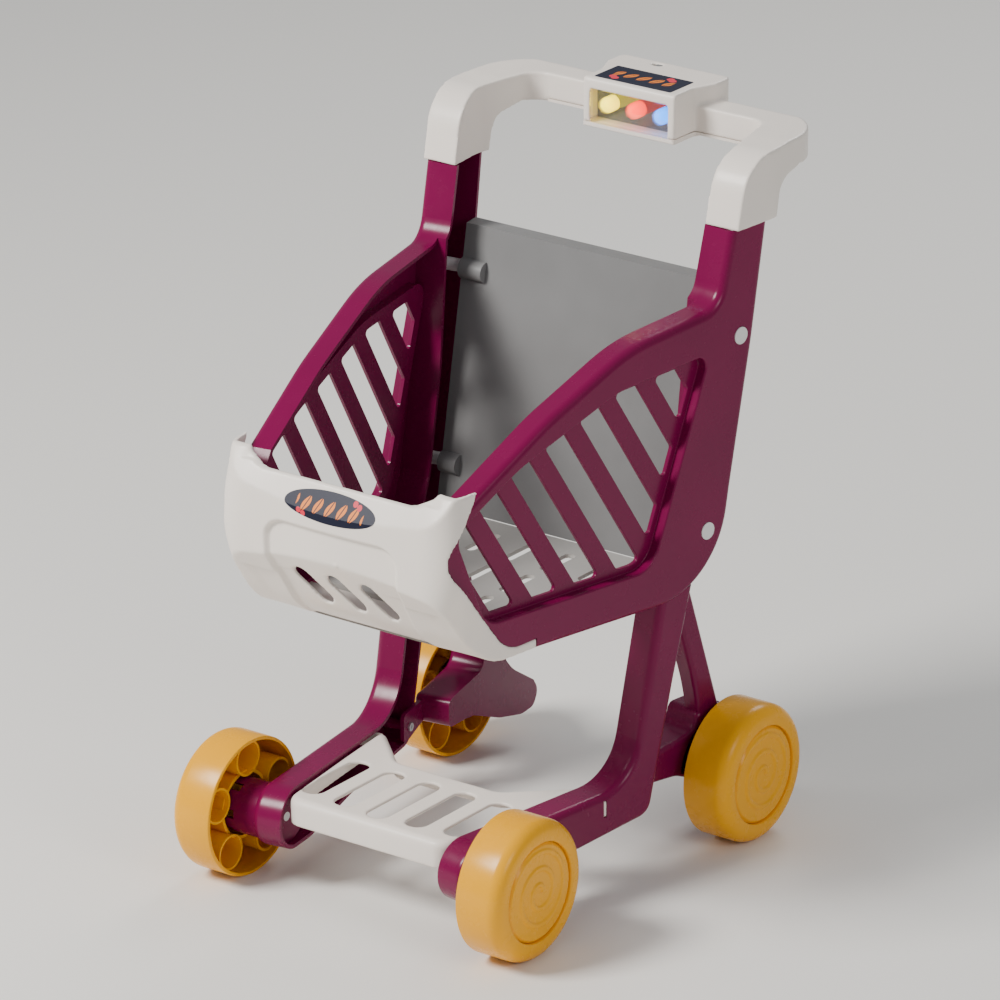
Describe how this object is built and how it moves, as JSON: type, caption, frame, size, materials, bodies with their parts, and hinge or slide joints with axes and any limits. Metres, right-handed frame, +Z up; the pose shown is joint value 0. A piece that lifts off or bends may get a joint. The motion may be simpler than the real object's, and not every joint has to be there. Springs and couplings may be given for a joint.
{
  "type": "toy shopping cart",
  "caption": "Child's play shopping cart: moulded side frames, open basket with slotted sides, lower tray, push handle with sound and light box, hub-capped wheels.",
  "frame": {"origin": "on the floor under the middle of the bounding box", "axes": "+Z up, -Y to the nose of the cart, +X to the side of the right-hand frame (to one's right when facing +Y)"},
  "size_m": [0.3166, 0.4296, 0.5453],
  "materials": {
    "plum_plastic": "smooth moulded, soft gloss",
    "cream_plastic": "fine satin moulded",
    "panel_plastic": "satin moulded",
    "amber_plastic": "smooth moulded, gloss",
    "peg_plastic": "smooth",
    "clear_plastic": "clear",
    "lamp_yellow": "diffused lens",
    "lamp_red": "diffused lens",
    "lamp_blue": "diffused lens",
    "board_green": "solder mask",
    "speaker_black": "matte",
    "cell_wrap": "wrapped cell",
    "switch_grey": "matte",
    "sticker_navy": "printed gloss film",
    "steel": "plated"
  },
  "bodies": {
    "cart": {"side_frame_right": "plum_plastic", "side_frame_left": "plum_plastic", "rear_leg_right": "plum_plastic", "rear_leg_left": "plum_plastic", "front_fascia": "cream_plastic", "basket_floor": "panel_plastic", "basket_back": "panel_plastic", "panel_pegs": "peg_plastic", "lower_tray": "cream_plastic", "handle_shell": "cream_plastic", "handle_cover": "cream_plastic", "battery_door": "cream_plastic", "light_window": "clear_plastic", "lamp_yellow": "lamp_yellow", "lamp_red": "lamp_red", "lamp_blue": "lamp_blue", "circuit_board": "board_green", "speaker": "speaker_black", "batteries": "cell_wrap", "box_sticker": "sticker_navy", "front_sticker": "sticker_navy", "leg_screws": "steel", "handle_screws": "steel", "door_screw": "steel", "axle_front_right": "steel", "axle_cap_front_right": "steel", "axle_front_left": "steel", "axle_cap_front_left": "steel", "axle_rear_right": "steel", "axle_cap_rear_right": "steel", "axle_rear_left": "steel", "axle_cap_rear_left": "steel"},
    "wheel_front_right": {"wheel_front_right": "amber_plastic", "hub_cap_front_right": "amber_plastic"},
    "wheel_front_left": {"wheel_front_left": "amber_plastic", "hub_cap_front_left": "amber_plastic"},
    "wheel_rear_right": {"wheel_rear_right": "amber_plastic", "hub_cap_rear_right": "amber_plastic"},
    "wheel_rear_left": {"wheel_rear_left": "amber_plastic", "hub_cap_rear_left": "amber_plastic"},
    "switch": {"power_switch": "switch_grey"}
  },
  "joints": [
    {"name": "front_right_wheel_spin", "type": "hinge", "parent": "cart", "child": "wheel_front_right", "pos_m": [0.1118, -0.1618, 0.053], "axis": [1, 0, 0], "continuous": true},
    {"name": "front_left_wheel_spin", "type": "hinge", "parent": "cart", "child": "wheel_front_left", "pos_m": [-0.1118, -0.1618, 0.053], "axis": [1, 0, 0], "continuous": true},
    {"name": "rear_right_wheel_spin", "type": "hinge", "parent": "cart", "child": "wheel_rear_right", "pos_m": [0.1216, 0.1054, 0.053], "axis": [1, 0, 0], "continuous": true},
    {"name": "rear_left_wheel_spin", "type": "hinge", "parent": "cart", "child": "wheel_rear_left", "pos_m": [-0.1216, 0.1054, 0.053], "axis": [1, 0, 0], "continuous": true},
    {"name": "power_switch_slide", "type": "slide", "parent": "cart", "child": "switch", "axis": [-1, 0, 0], "range_m": [0, 0.003]}
  ]
}
